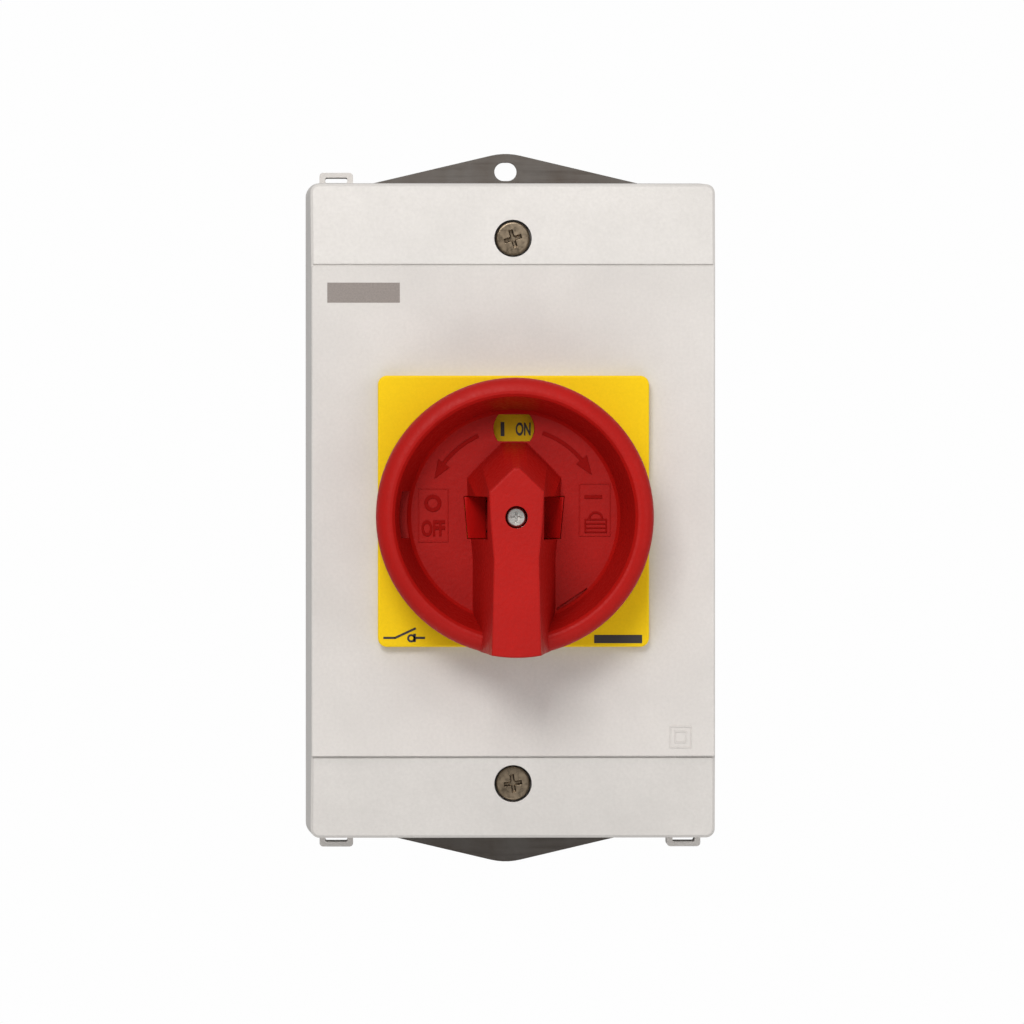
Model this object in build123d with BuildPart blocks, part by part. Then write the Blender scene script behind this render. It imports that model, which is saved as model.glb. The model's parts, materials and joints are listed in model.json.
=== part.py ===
from build123d import *
import math
import os

# Enclosed rotary isolator switch: a surface box with a lockable handle on its cover and a
# three-pole contact block inside.
# The origin is on the wall face, where the handle's axis meets it. X runs to the right, Z up, and
# the handle faces -Y. Sizes are millimetres, and every *_H is a height above the wall, along -Y.

# ---- driving dimensions of the box ----
BOX_W = 100.0  # width at the parting line between base and cover
BOX_Z = 160.0  # height at the parting line
BOX_CORNER_R = 3.5
BOX_RISE = 1.1  # the middle of the box lies this far above the handle's axis
WALL_PLATE_T = 2.0
PARTING_H = 55.0
LID_H = 100.0  # front of the cover's middle panel
WALL_T = 3.2
FLOOR_T = 2.6
BASE_DRAFT = 1.0
LID_DRAFT = 2.0

# ---- cover ----
PANEL_HALF_Z = 58.75  # the middle panel ends here, and the sloping end panels begin
END_SLOPE = 18.0
END_STEP = 0.8
SEAM_W = 0.5
SEAM_DEPTH = 0.4
COVER_SCREW_Z = 65.5
COVER_COLUMN_R = 6.7
WELL_R = 4.5
WELL_FLOOR_H = 91.2
COVER_SCREW_HEAD_R = 4.1
COVER_SCREW_HEAD_T = 3.0
COVER_SCREW_R = 2.4
CROSS_LENGTH, CROSS_W, CROSS_DEPTH, CROSS_TAPER = 4.4, 1.1, 1.9, 9.0
SEAL_T = 1.0
GASKET_W = 1.4
GASKET_T = 1.0
TONGUE_W = 1.0
TONGUE_T = 1.2
TONGUE_INSET = 1.1

# ---- sealing-wire loops at the parting line ----
LOOP_X = 42.5
LOOP_W = 8.2
LOOP_OUT = 2.4
LOOP_T = 4.5
LOOP_GAP = 0.3
LOOP_HOLE_W = 5.4
LOOP_HOLE_Z = 1.3
LOOP_BAR = 1.2
LOOP_SIDES = [(-1, 1), (-1, -1), (1, -1)]  # upper left, lower left and lower right

# ---- cable entries ----
ENTRY_X = 23.0
ENTRY_H = 30.0
ENTRY_R = 12.75
ENTRY_SCORE_W = 0.9
ENTRY_WEB_T = 1.2

# ---- wall plate ----
WALL_PLATE_W = 80.0
WALL_PLATE_TIP_Z = 89.0
WALL_PLATE_RAKE = 13.25
WALL_PLATE_TIP_R = 16.0
WALL_HOLE_Z = 84.5
WALL_HOLE_R = 2.3
WALL_HOLE_SLOT = 5.6
LOWER_HOLE_Z = -52.0  # a round hole, reached from inside through the mounting plate
LOWER_ACCESS_R = 5.0
WALL_SCREW_X, WALL_SCREW_Z = 30.0, 66.0
WALL_SCREW_R = 2.0

# ---- front plate and handle ----
FRONT_PLATE = 65.0
FRONT_PLATE_T = 3.4
COLLAR_R = 12.0
COLLAR_REAR_H = 94.0
COLLAR_HOLE_R = 12.3
PLATE_SCREW_XY = 22.0
NECK_R = 8.0
RUNNING_GAP = 0.06
HANDLE_REAR_H = 104.2
HANDLE_R = 33.0
RIM_H = 124.0
RIM_INNER_R = 28.5
DISH_FLOOR_H = 109.0
DISH_FLOOR_R = 24.6
GRIP_H = 139.0
GRIP_TIP_R = 33.1
ROOF_SLOPE = 0.97  # fall of the grip's roof edges, across the handle
WINDOW_R = 4.9
WINDOW_Z = 21.0
WINDOW_LOW_Z, WINDOW_HIGH_Z = 17.9, 24.3
YOKE_BORE_R = 7.6
YOKE_BORE_TOP_H = 118.0
SLEEVE_R = 4.6
SOCKET_TOP_H = 122.0
SHAFT_SIDE = 6.0
SHAFT_REAR_H = 49.0
HANDLE_SCREW_HEAD_R = 2.4
HANDLE_SCREW_WELL_R = 2.65
HANDLE_SCREW_TOP_H = 134.5
LOCK_REAR_H = 104.3
LOCK_RING_T = 2.2
EAR_TOP_H = 109.4  # the ear's outer edge
EAR_INNER_H = 106.6  # its top slopes down to here beside the grip
EAR_LOW_Z, EAR_HIGH_Z = -5.3, 4.6
EAR_GAP = 0.14

# ---- switch block ----
MOUNTING_PLATE_H = 8.0
MOUNTING_PLATE_T = 1.5
FOOT_H = MOUNTING_PLATE_H + MOUNTING_PLATE_T
FOOT_T = 3.0
BLOCK_W, BLOCK_Z = 56.0, 62.0
BLOCK_REAR_H = FOOT_H + FOOT_T
BLOCK_FRONT_H = 36.5
BLOCK_ROOF_T = 2.5
LATCH_FRONT_H = 46.5
POLE_PITCH = 16.0
CHAMBER_W = 13.4
CHAMBER_HALF_Z = 20.8
BRIDGE_H = 22.0
BRIDGE_T = 1.6
TIP_T = 1.0
TIP_Z = 15.0
STRIP_T = 1.5
STRIP_W = 8.0
STRIP_H = BRIDGE_H + BRIDGE_T + 2 * TIP_T
TERMINAL_Z = 26.0
TERMINAL_SCREW_R = 2.0
CARRIER_H = 17.0
CARRIER_T = 3.5
CONTACT_TRAVEL = 3.0
FOLLOWER_RADIUS = 7.3
FOLLOWER_PIN_R = 1.0
FOLLOWER_H = 27.0
CAM_CLEARANCE = 0.45
ROTOR_R = 10.0
ROTOR_HUB_R = 7.0
RAMP_INNER_R, RAMP_OUTER_R = 6.5, 8.6
ROTOR_FLANGE_H = 31.0
COUPLING_SCREW_H = 55.0
SIDE_TERMINAL_X = 35.5
THROUGH_BOLT_X, THROUGH_BOLT_Z = 25.4, 14.0

POLES = [-POLE_PITCH, 0.0, POLE_PITCH]
FRONT_PLATE_H = LID_H + FRONT_PLATE_T


def front(height):
    """The sketch plane parallel to the wall at this height, seen from the handle's side."""
    return Plane.XZ.offset(height)


def rear(height):
    """The sketch plane parallel to the wall at this height, seen from the wall's side."""
    return Plane(origin=(0, -height, 0), x_dir=(1, 0, 0), z_dir=(0, 1, 0))


def drafted_block(plane, reach, draft, inset=0.0):
    """The box's drafted solid from the parting line, or its cavity when inset by the wall."""
    with BuildPart() as block:
        with BuildSketch(plane):
            RectangleRounded(BOX_W - 2 * inset, BOX_Z - 2 * inset, max(BOX_CORNER_R - inset, 1.0))
        extrude(amount=reach, taper=draft)
    return block.part


def cylinder_on_front(height, length, radius, places):
    """Cylinders along -Y that start at one height, at the listed X and Z places."""
    with BuildPart() as pins:
        with BuildSketch(front(height)):
            with Locations(*places):
                Circle(radius)
        extrude(amount=length)
    return pins.part


def seam_ring(inset, width, height, length):
    """A rounded rectangular ring that follows the parting line at a given inset."""
    with BuildPart() as ring:
        with BuildSketch(front(height)):
            RectangleRounded(BOX_W - 2 * inset, BOX_Z - 2 * inset, BOX_CORNER_R - inset)
            inner = inset + width
            RectangleRounded(
                BOX_W - 2 * inner,
                BOX_Z - 2 * inner,
                BOX_CORNER_R - inner,
                mode=Mode.SUBTRACT,
            )
        extrude(amount=length)
    return ring.part


def wire_loops(low):
    """The three small loops that take a sealing wire, standing out of the end walls."""
    inside_z = BOX_Z / 2 - 1.6
    outside_z = BOX_Z / 2 + LOOP_OUT
    hole_z = outside_z - LOOP_BAR - LOOP_HOLE_Z / 2
    with BuildPart() as loops:
        with BuildSketch(front(low)):
            for side_x, side_z in LOOP_SIDES:
                with Locations((side_x * LOOP_X, side_z * (inside_z + outside_z) / 2)):
                    RectangleRounded(LOOP_W, outside_z - inside_z, 0.9)
                with Locations((side_x * LOOP_X, side_z * hole_z)):
                    RectangleRounded(LOOP_HOLE_W, LOOP_HOLE_Z, 0.4, mode=Mode.SUBTRACT)
        extrude(amount=LOOP_T)
    return loops.part


def on_box(part):
    """A piece drawn about the middle of the box, moved to its place above the handle's axis."""
    return part.moved(Location((0, 0, BOX_RISE)))


def on_box_places(places):
    """Places drawn about the middle of the box, moved in the same way."""
    return [(x, z + BOX_RISE) for x, z in places]


# ---- enclosure ----


def make_base_housing():
    """The lower shell: drafted walls, screw bosses, tongue, wire loops and cable entries."""
    depth = PARTING_H - WALL_PLATE_T
    outer = drafted_block(rear(PARTING_H), depth, BASE_DRAFT)
    cavity = drafted_block(rear(PARTING_H), depth - FLOOR_T, BASE_DRAFT, WALL_T)
    tongue = seam_ring(TONGUE_INSET, TONGUE_W, PARTING_H, TONGUE_T)
    loops = wire_loops(PARTING_H - LOOP_GAP - LOOP_T)
    floor_h = WALL_PLATE_T + FLOOR_T
    with BuildPart() as base:
        add(outer)
        add(cavity, mode=Mode.SUBTRACT)
        add(tongue)
        add(loops)
        with BuildSketch(front(floor_h)):
            with Locations((0, COVER_SCREW_Z), (0, -COVER_SCREW_Z)):
                Circle(6.0)
        extrude(amount=PARTING_H - 0.5 - floor_h)
        with BuildSketch(front(floor_h)):
            with GridLocations(70.0, 100.0, 2, 2):
                Circle(4.0)
        extrude(amount=MOUNTING_PLATE_H - floor_h)
        with BuildSketch(front(PARTING_H - 0.5)):
            with Locations((0, COVER_SCREW_Z), (0, -COVER_SCREW_Z)):
                Circle(3.6)
        extrude(amount=-12.0, mode=Mode.SUBTRACT)
        with BuildSketch(front(MOUNTING_PLATE_H)):
            with GridLocations(70.0, 100.0, 2, 2):
                Circle(1.5)
        extrude(amount=-3.2, mode=Mode.SUBTRACT)
        with BuildSketch(front(floor_h)):
            with GridLocations(2 * WALL_SCREW_X, 2 * WALL_SCREW_Z, 2, 2):
                Circle(WALL_SCREW_R + 0.1)
            with Locations((0, LOWER_HOLE_Z)):
                Circle(WALL_HOLE_R)
        extrude(amount=-FLOOR_T, mode=Mode.SUBTRACT)
        for side in (-1, 1):
            score = Plane(
                origin=(0, -ENTRY_H, side * BOX_Z / 2),
                x_dir=(1, 0, 0),
                z_dir=(0, 0, side),
            )
            with BuildSketch(score):
                with Locations((-ENTRY_X, 0), (ENTRY_X, 0)):
                    Circle(ENTRY_R)
                    Circle(ENTRY_R - ENTRY_SCORE_W, mode=Mode.SUBTRACT)
            extrude(amount=-(WALL_T - ENTRY_WEB_T), mode=Mode.SUBTRACT)
    return base.part


def cover_profile(wall=0.0):
    """Side view of the cover: a flat middle panel and two sloping ends, or its cavity."""
    fall = math.tan(math.radians(END_SLOPE))
    reach = BOX_Z / 2 + 10.0
    with BuildPart() as profile:
        with BuildSketch(Plane.YZ):
            with BuildLine():
                top = LID_H - wall
                knee = LID_H - END_STEP
                knee_z = PANEL_HALF_Z
                if wall:
                    knee = top
                    knee_z = PANEL_HALF_Z - (wall - END_STEP) * 1.12
                end = knee - (reach - knee_z) * fall
                upper = [(-PARTING_H + wall, reach), (-end, reach), (-knee, knee_z)]
                if not wall:
                    upper.append((-top, knee_z))
                lower = [(y, -z) for y, z in reversed(upper)]
                Polyline(*upper, *lower, close=True)
            make_face()
        extrude(amount=BOX_W, both=True)
    return profile.part


def make_cover():
    """The upper shell, with sloping ends, screw wells, loops and the opening for the handle."""
    outer = drafted_block(front(PARTING_H), LID_H + 0.5 - PARTING_H, LID_DRAFT)
    cavity = drafted_block(front(PARTING_H), LID_H - WALL_T - PARTING_H, LID_DRAFT, WALL_T)
    outside = cover_profile()
    inside = cover_profile(WALL_T)
    groove = seam_ring(TONGUE_INSET - 0.2, GASKET_W, PARTING_H, TONGUE_T + GASKET_T)
    loops = wire_loops(PARTING_H + LOOP_GAP)
    columns = cylinder_on_front(
        PARTING_H - 0.3,
        LID_H - PARTING_H,
        COVER_COLUMN_R,
        [(0, COVER_SCREW_Z), (0, -COVER_SCREW_Z)],
    )
    with BuildPart() as hollow:
        add(cavity)
        add(inside, mode=Mode.INTERSECT)
    with BuildPart() as columns_inside:
        add(columns)
        add(outside, mode=Mode.INTERSECT)
    with BuildPart() as cover:
        add(outer)
        add(outside, mode=Mode.INTERSECT)
        slope_edges = [
            edge
            for edge in cover.edges().filter_by(GeomType.LINE)
            if abs(edge.center().X) > 48.0 and abs(edge.center().Z) > PANEL_HALF_Z + 1.0
            and abs(edge.center().Z) < BOX_Z / 2 - 5.0 and edge.length < 30.0
        ]
        chamfer(slope_edges, 0.6)
        panel = cover.faces().sort_by(Axis.Y)[0]
        fillet(panel.edges().filter_by(Axis.Z), 0.6)
        add(hollow.part, mode=Mode.SUBTRACT)
        add(columns_inside.part)
        add(loops)
        add(groove, mode=Mode.SUBTRACT)
        for side in (-1, 1):
            with BuildSketch(front(LID_H + 1.0)):
                with Locations((0, side * (PANEL_HALF_Z + SEAM_W / 2))):
                    Rectangle(BOX_W + 2, SEAM_W)
            extrude(amount=-(1.0 + END_STEP + SEAM_DEPTH), mode=Mode.SUBTRACT)
        with BuildSketch(front(WELL_FLOOR_H)):
            with Locations((0, COVER_SCREW_Z), (0, -COVER_SCREW_Z)):
                Circle(WELL_R)
        extrude(amount=LID_H - WELL_FLOOR_H, mode=Mode.SUBTRACT)
        with BuildSketch(front(PARTING_H - 1.0)):
            with Locations((0, COVER_SCREW_Z), (0, -COVER_SCREW_Z)):
                Circle(COVER_SCREW_R + 0.4)
        extrude(amount=LID_H - PARTING_H, mode=Mode.SUBTRACT)
        with BuildSketch(front(LID_H - WALL_T - 1.0)):
            with Locations((0, -BOX_RISE)):
                Circle(COLLAR_HOLE_R)
            with GridLocations(2 * PLATE_SCREW_XY, 2 * PLATE_SCREW_XY, 2, 2):
                Circle(1.6)
        extrude(amount=WALL_T + 2.0, mode=Mode.SUBTRACT)
    return cover.part


def make_cover_gasket():
    """Sealing cord in the bottom of the cover's groove, pressed by the base's tongue."""
    return seam_ring(TONGUE_INSET - 0.2, GASKET_W, PARTING_H + TONGUE_T, GASKET_T)


def make_cover_screw(z, turn):
    """Captive cover screw: cylinder head with a tapered cross recess and a long shank."""
    seat_h = WELL_FLOOR_H + SEAL_T
    with BuildPart() as screw:
        with BuildSketch(front(seat_h)):
            with Locations((0, z)):
                Circle(COVER_SCREW_HEAD_R)
        extrude(amount=COVER_SCREW_HEAD_T)
        top_edge = screw.edges().sort_by(Axis.Y)[0]
        fillet(top_edge, 0.5)
        with BuildSketch(front(seat_h + COVER_SCREW_HEAD_T)):
            with Locations((0, z)):
                Rectangle(CROSS_LENGTH, CROSS_W, rotation=turn)
                Rectangle(CROSS_W, CROSS_LENGTH, rotation=turn)
                Circle(CROSS_W * 0.8)
        extrude(amount=-CROSS_DEPTH, taper=CROSS_TAPER, mode=Mode.SUBTRACT)
        with BuildSketch(front(PARTING_H - 11.5)):
            with Locations((0, z)):
                Circle(COVER_SCREW_R)
        extrude(amount=seat_h - (PARTING_H - 11.5))
    return screw.part


def make_ring(height, thickness, outer_r, inner_r, places):
    """Flat rings at one height, at the listed X and Z places."""
    with BuildPart() as ring:
        with BuildSketch(front(height)):
            with Locations(*places):
                Circle(outer_r)
                Circle(inner_r, mode=Mode.SUBTRACT)
        extrude(amount=thickness)
    return ring.part


def make_wall_plate():
    """The steel strip behind the box: raked tips, an oblong upper hole and a round lower one."""
    shoulder_z = WALL_PLATE_TIP_Z + 0.45 - WALL_PLATE_W / 2 * math.tan(math.radians(WALL_PLATE_RAKE))
    tip_z = WALL_PLATE_TIP_Z + 0.45
    half_w = WALL_PLATE_W / 2
    with BuildPart() as plate:
        with BuildSketch(front(0)) as outline:
            with BuildLine():
                Polyline(
                    (half_w, -shoulder_z),
                    (half_w, shoulder_z),
                    (0, tip_z),
                    (-half_w, shoulder_z),
                    (-half_w, -shoulder_z),
                    (0, -tip_z),
                    close=True,
                )
            make_face()
            tips = outline.vertices().group_by(Axis.X)[1]
            fillet(tips, WALL_PLATE_TIP_R)
            with Locations((0, WALL_HOLE_Z)):
                SlotOverall(WALL_HOLE_SLOT, 2 * WALL_HOLE_R, mode=Mode.SUBTRACT)
            with Locations((0, LOWER_HOLE_Z)):
                Circle(WALL_HOLE_R, mode=Mode.SUBTRACT)
            with GridLocations(2 * WALL_SCREW_X, 2 * WALL_SCREW_Z, 2, 2):
                Circle(WALL_SCREW_R + 0.05, mode=Mode.SUBTRACT)
        extrude(amount=WALL_PLATE_T)
    return plate.part


def cross_drive(height, x, z, half_length, width, depth):
    """A cross-shaped drive recess, as a cutting solid that goes down from a height."""
    with BuildPart() as cross:
        with BuildSketch(front(height)):
            with Locations((x, z)):
                Rectangle(2 * half_length, width)
                Rectangle(width, 2 * half_length)
        extrude(amount=-depth)
    return cross.part


def make_pan_screw(x, z, seat_h, head_r, head_t, shank_r, end_h):
    """A pan-head screw that faces the front, with a cross recess."""
    cross = cross_drive(seat_h + head_t, x, z, head_r * 0.6, head_r * 0.22, head_t * 0.6)
    with BuildPart() as screw:
        with BuildSketch(front(seat_h)):
            with Locations((x, z)):
                Circle(head_r)
        extrude(amount=head_t)
        fillet(screw.edges().sort_by(Axis.Y)[0], head_t * 0.35)
        add(cross, mode=Mode.SUBTRACT)
        with BuildSketch(front(end_h)):
            with Locations((x, z)):
                Circle(shank_r)
        extrude(amount=seat_h - end_h)
    return screw.part


def make_pan_screws(places, *sizes):
    """A group of equal pan-head screws, one solid each."""
    return Compound(children=[make_pan_screw(x, z, *sizes) for x, z in places])


def corner_places(half_x, half_z):
    """The four corners of a rectangle about the axis."""
    return [(sx * half_x, sz * half_z) for sx in (-1, 1) for sz in (-1, 1)]


# ---- front plate and handle ----


def make_front_plate():
    """The square yellow plate, its bearing collar and the recess for its gasket."""
    with BuildPart() as plate:
        with BuildSketch(front(LID_H)):
            RectangleRounded(FRONT_PLATE, FRONT_PLATE, 2.2)
        extrude(amount=FRONT_PLATE_T)
        fillet(plate.faces().sort_by(Axis.Y)[0].edges(), 0.5)
        with BuildSketch(front(COLLAR_REAR_H)):
            with Locations((0, -BOX_RISE)):
                Circle(COLLAR_R)
        extrude(amount=LID_H - COLLAR_REAR_H)
        with BuildSketch(front(COLLAR_REAR_H)):
            with Locations((0, -BOX_RISE)):
                Circle(NECK_R + RUNNING_GAP)
        extrude(amount=FRONT_PLATE_H - COLLAR_REAR_H, mode=Mode.SUBTRACT)
        with BuildSketch(front(LID_H)):
            with Locations((0, -BOX_RISE)):
                Circle(16.6)
                Circle(13.4, mode=Mode.SUBTRACT)
        extrude(amount=1.0, mode=Mode.SUBTRACT)
        with BuildSketch(front(LID_H)):
            with GridLocations(2 * PLATE_SCREW_XY, 2 * PLATE_SCREW_XY, 2, 2):
                Circle(1.45)
        extrude(amount=2.5, mode=Mode.SUBTRACT)
    return plate.part


def make_rear_screws(places, seat_h, head_r, head_t, shank_r, end_h):
    """Screws driven from inside the box towards the front."""
    screws = []
    for x, z in places:
        with BuildPart() as screw:
            with BuildSketch(front(seat_h - head_t)):
                with Locations((x, z)):
                    Circle(head_r)
            extrude(amount=head_t)
            fillet(screw.edges().sort_by(Axis.Y)[-1], head_t * 0.35)
            with BuildSketch(front(seat_h - head_t)):
                with Locations((x, z)):
                    Rectangle(head_r * 1.2, head_r * 0.25)
                    Rectangle(head_r * 0.25, head_r * 1.2)
            extrude(amount=head_t * 0.6, mode=Mode.SUBTRACT)
            with BuildSketch(front(seat_h)):
                with Locations((x, z)):
                    Circle(shank_r)
            extrude(amount=end_h - seat_h)
        screws.append(screw.part)
    return Compound(children=screws)


def handle_disc():
    """The turned part of the handle: rounded rim, sloping inner wall and dish floor."""
    with BuildPart() as disc:
        with BuildSketch(Plane.XY):
            with BuildLine():
                rear = (0, -HANDLE_REAR_H)
                Polyline(
                    (0, -DISH_FLOOR_H),
                    rear,
                    (HANDLE_R - 0.6, -HANDLE_REAR_H),
                    (HANDLE_R, -HANDLE_REAR_H - 0.6),
                    (HANDLE_R, -(RIM_H - 3.4)),
                )
                ThreePointArc(
                    (HANDLE_R, -(RIM_H - 3.4)),
                    (HANDLE_R - 1.0, -(RIM_H - 1.0)),
                    (HANDLE_R - 3.2, -RIM_H),
                )
                Polyline(
                    (HANDLE_R - 3.2, -RIM_H),
                    (RIM_INNER_R + 0.7, -RIM_H + 0.1),
                    (RIM_INNER_R, -RIM_H + 0.8),
                    (DISH_FLOOR_R + 0.8, -DISH_FLOOR_H - 0.8),
                    (DISH_FLOOR_R, -DISH_FLOOR_H),
                    (0, -DISH_FLOOR_H),
                )
            make_face()
        revolve(axis=Axis.Y)
        with BuildSketch(Plane.XY):
            with BuildLine():
                Polyline(
                    (26.8, -HANDLE_REAR_H),
                    (HANDLE_R - 2.4, -HANDLE_REAR_H),
                    (HANDLE_R - 2.4, -(RIM_H - 4.5)),
                    (HANDLE_R - 3.0, -(RIM_H - 4.0)),
                    close=True,
                )
            make_face()
        revolve(axis=Axis.Y, mode=Mode.SUBTRACT)
    return disc.part


def mirrored(points):
    """The points, then the same points on the other side of X = 0 in reverse order."""
    return points + [(-x, z) for x, z in reversed(points)]


def gable(ridge_x, ridge_z, eave_x):
    """The right-hand edge of the grip's roof. Every such edge has one slope, so roofs are flat."""
    return [(ridge_x, ridge_z), (eave_x, ridge_z - ROOF_SLOPE * (eave_x - ridge_x))]


def handle_grip():
    """The house-shaped grip, flared towards the dish floor and cut to the handle's radius."""
    foot = gable(2.95, 17.8, 11.4)
    foot += [(11.2, 3.0), (10.0, -10.0), (10.0, -24.0), (10.0, -36.0)]
    head = gable(0.7, 11.5, 6.5)
    head += [(6.1, -1.0), (5.3, -10.0), (5.6, -24.0), (5.9, -36.0)]
    with BuildPart() as grip:
        for height, half in ((DISH_FLOOR_H - 1.0, foot), (GRIP_H, head)):
            with BuildSketch(front(height)):
                with BuildLine():
                    Polyline(*mirrored(half), close=True)
                make_face()
        loft(ruled=True)
        with BuildSketch(front(DISH_FLOOR_H - 1.0)):
            Circle(GRIP_TIP_R)
        extrude(amount=GRIP_H, mode=Mode.INTERSECT)
        top = grip.faces().sort_by(Axis.Y)[0]
        fillet(top.edges(), 0.5)
    return grip.part


def make_handle():
    """The red moulding: dish, grip, window, ear openings and the pockets behind them."""
    disc = handle_disc()
    grip = handle_grip()
    with BuildPart() as pocket:
        with BuildSketch(front(HANDLE_REAR_H - 0.1)):
            with Locations((0, -19.5)):
                Rectangle(12.0, 19.0)
        with BuildSketch(front(GRIP_H - 4.0)):
            with Locations((0, -19.5)):
                Rectangle(5.4, 17.0)
        loft(ruled=True)
    with BuildPart() as handle:
        add(disc)
        add(grip)
        add(pocket.part, mode=Mode.SUBTRACT)
        with BuildSketch(front(HANDLE_REAR_H)):
            Circle(YOKE_BORE_R)
        extrude(amount=YOKE_BORE_TOP_H - HANDLE_REAR_H, mode=Mode.SUBTRACT)
        with BuildSketch(front(HANDLE_REAR_H)):
            Rectangle(7.1, 7.1)
        extrude(amount=SOCKET_TOP_H + 0.1 - HANDLE_REAR_H, mode=Mode.SUBTRACT)
        with BuildSketch(front(HANDLE_REAR_H)):
            with BuildLine():
                Polyline(*ear_outline(EAR_GAP), close=True)
            make_face()
            mirror(about=Plane.YZ)
        extrude(amount=GRIP_H - 1.0 - HANDLE_REAR_H, mode=Mode.SUBTRACT)
        with BuildSketch(front(HANDLE_REAR_H)):
            with Locations((0, WINDOW_Z)):
                Circle(WINDOW_R)
            with Locations((0, (WINDOW_LOW_Z + WINDOW_HIGH_Z) / 2)):
                Rectangle(12.0, WINDOW_HIGH_Z - WINDOW_LOW_Z, mode=Mode.INTERSECT)
        extrude(amount=RIM_H - 3.0 - HANDLE_REAR_H, mode=Mode.SUBTRACT)
        with BuildSketch(front(DISH_FLOOR_H + 1.5)):
            with Locations((-25.6, 0.4)):
                Rectangle(7.4, 11.2)
        extrude(amount=8.0, mode=Mode.SUBTRACT)
        with BuildSketch(front(DISH_FLOOR_H)):
            with BuildLine():
                Polyline((17.4, -17.2), (18.4, -19.4), (10.2, -25.5), (10.2, -22.0), close=True)
            make_face()
        extrude(amount=-0.4, mode=Mode.SUBTRACT)
        with BuildSketch(front(GRIP_H)):
            Circle(HANDLE_SCREW_WELL_R)
        extrude(amount=-(GRIP_H - 132.0), mode=Mode.SUBTRACT)
        with BuildSketch(front(GRIP_H)):
            Circle(1.4)
        extrude(amount=-(GRIP_H - SOCKET_TOP_H), mode=Mode.SUBTRACT)
    return handle.part


def make_handle_screw():
    """The screw on the handle's axis, down into the shaft's end."""
    seat_h = 132.0
    head_t = HANDLE_SCREW_TOP_H - seat_h
    cross = cross_drive(HANDLE_SCREW_TOP_H, 0, 0, 1.3, 0.5, 1.4)
    with BuildPart() as screw:
        with BuildSketch(front(seat_h)):
            Circle(HANDLE_SCREW_HEAD_R)
        extrude(amount=head_t)
        fillet(screw.edges().sort_by(Axis.Y)[0], 0.5)
        add(cross, mode=Mode.SUBTRACT)
        with BuildSketch(front(112.0)):
            Circle(1.25)
        extrude(amount=seat_h - 112.0)
    return screw.part


def make_handle_bush():
    """The bearing neck behind the handle: neck, spring sleeve and square key, square-bored."""
    with BuildPart() as bush:
        with BuildSketch(front(92.0)):
            Circle(NECK_R)
        extrude(amount=HANDLE_REAR_H - 92.0)
        with BuildSketch(front(HANDLE_REAR_H)):
            Circle(SLEEVE_R)
        extrude(amount=YOKE_BORE_TOP_H - HANDLE_REAR_H)
        with BuildSketch(front(YOKE_BORE_TOP_H)):
            Rectangle(7.0, 7.0)
        extrude(amount=SOCKET_TOP_H - YOKE_BORE_TOP_H)
        with BuildSketch(front(92.0)):
            Rectangle(SHAFT_SIDE + 0.1, SHAFT_SIDE + 0.1)
        extrude(amount=119.5 - 92.0, mode=Mode.SUBTRACT)
        with BuildSketch(front(92.0)):
            Circle(1.35)
        extrude(amount=SOCKET_TOP_H - 92.0, mode=Mode.SUBTRACT)
        for height, length, depth in ((92.6, 1.1, 1.0), (97.0, 1.6, 1.3)):
            with BuildSketch(front(height)):
                Circle(NECK_R)
                Circle(NECK_R - depth, mode=Mode.SUBTRACT)
            extrude(amount=length, mode=Mode.SUBTRACT)
    return bush.part


def make_retaining_clip():
    """Snap ring in the neck's rear groove, which holds the handle to the collar."""
    with BuildPart() as clip:
        with BuildSketch(front(92.7)):
            Circle(10.2)
            Circle(NECK_R - 0.95, mode=Mode.SUBTRACT)
            with Locations((0, -9.0)):
                Rectangle(7.0, 8.0, mode=Mode.SUBTRACT)
        extrude(amount=0.9)
    return clip.part


def make_shaft_seal():
    """The O-ring in the neck's front groove."""
    with BuildPart() as seal:
        with BuildSketch(Plane.XY):
            with Locations((NECK_R - 0.55, -97.8)):
                Circle(0.55)
        revolve(axis=Axis.Y)
    return seal.part


def make_drive_shaft():
    """The square steel shaft from the switch to the handle, tapped at its front end."""
    with BuildPart() as shaft:
        with BuildSketch(front(SHAFT_REAR_H)):
            Rectangle(SHAFT_SIDE, SHAFT_SIDE)
        extrude(amount=119.0 - SHAFT_REAR_H)
        chamfer(shaft.edges().filter_by(Axis.Y), 0.4)
        with BuildSketch(front(119.0)):
            Circle(1.3)
        extrude(amount=-9.0, mode=Mode.SUBTRACT)
    return shaft.part


def ear_outline(gap):
    """Outline of the right-hand ear, or of the opening that leaves a gap around it."""
    low, high = EAR_LOW_Z - gap, EAR_HIGH_Z + gap
    return [(6.7 - gap, high), (11.9 + gap, high), (11.0 + gap, low), (6.7 - gap, low)]


def make_lock_slide():
    """The padlock slide: a ring around the sleeve with an ear in each opening of the dish."""
    with BuildPart() as slide:
        with BuildSketch(front(LOCK_REAR_H)):
            Circle(YOKE_BORE_R - 0.3)
            with Locations((-6.6, 0), (6.6, 0)):
                Rectangle(2.0, 6.0)
            Circle(SLEEVE_R + 0.2, mode=Mode.SUBTRACT)
        extrude(amount=LOCK_RING_T)
        with BuildSketch(front(LOCK_REAR_H)):
            with BuildLine():
                Polyline(*ear_outline(0.0), close=True)
            make_face()
            mirror(about=Plane.YZ)
        extrude(amount=EAR_TOP_H - LOCK_REAR_H)
        with BuildSketch(Plane.XY):
            with BuildLine():
                Polyline((11.4, -EAR_TOP_H), (6.0, -EAR_TOP_H), (6.0, -EAR_INNER_H), close=True)
            make_face()
            mirror(about=Plane.YZ)
        extrude(amount=8.0, both=True, mode=Mode.SUBTRACT)
    return slide.part


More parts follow.
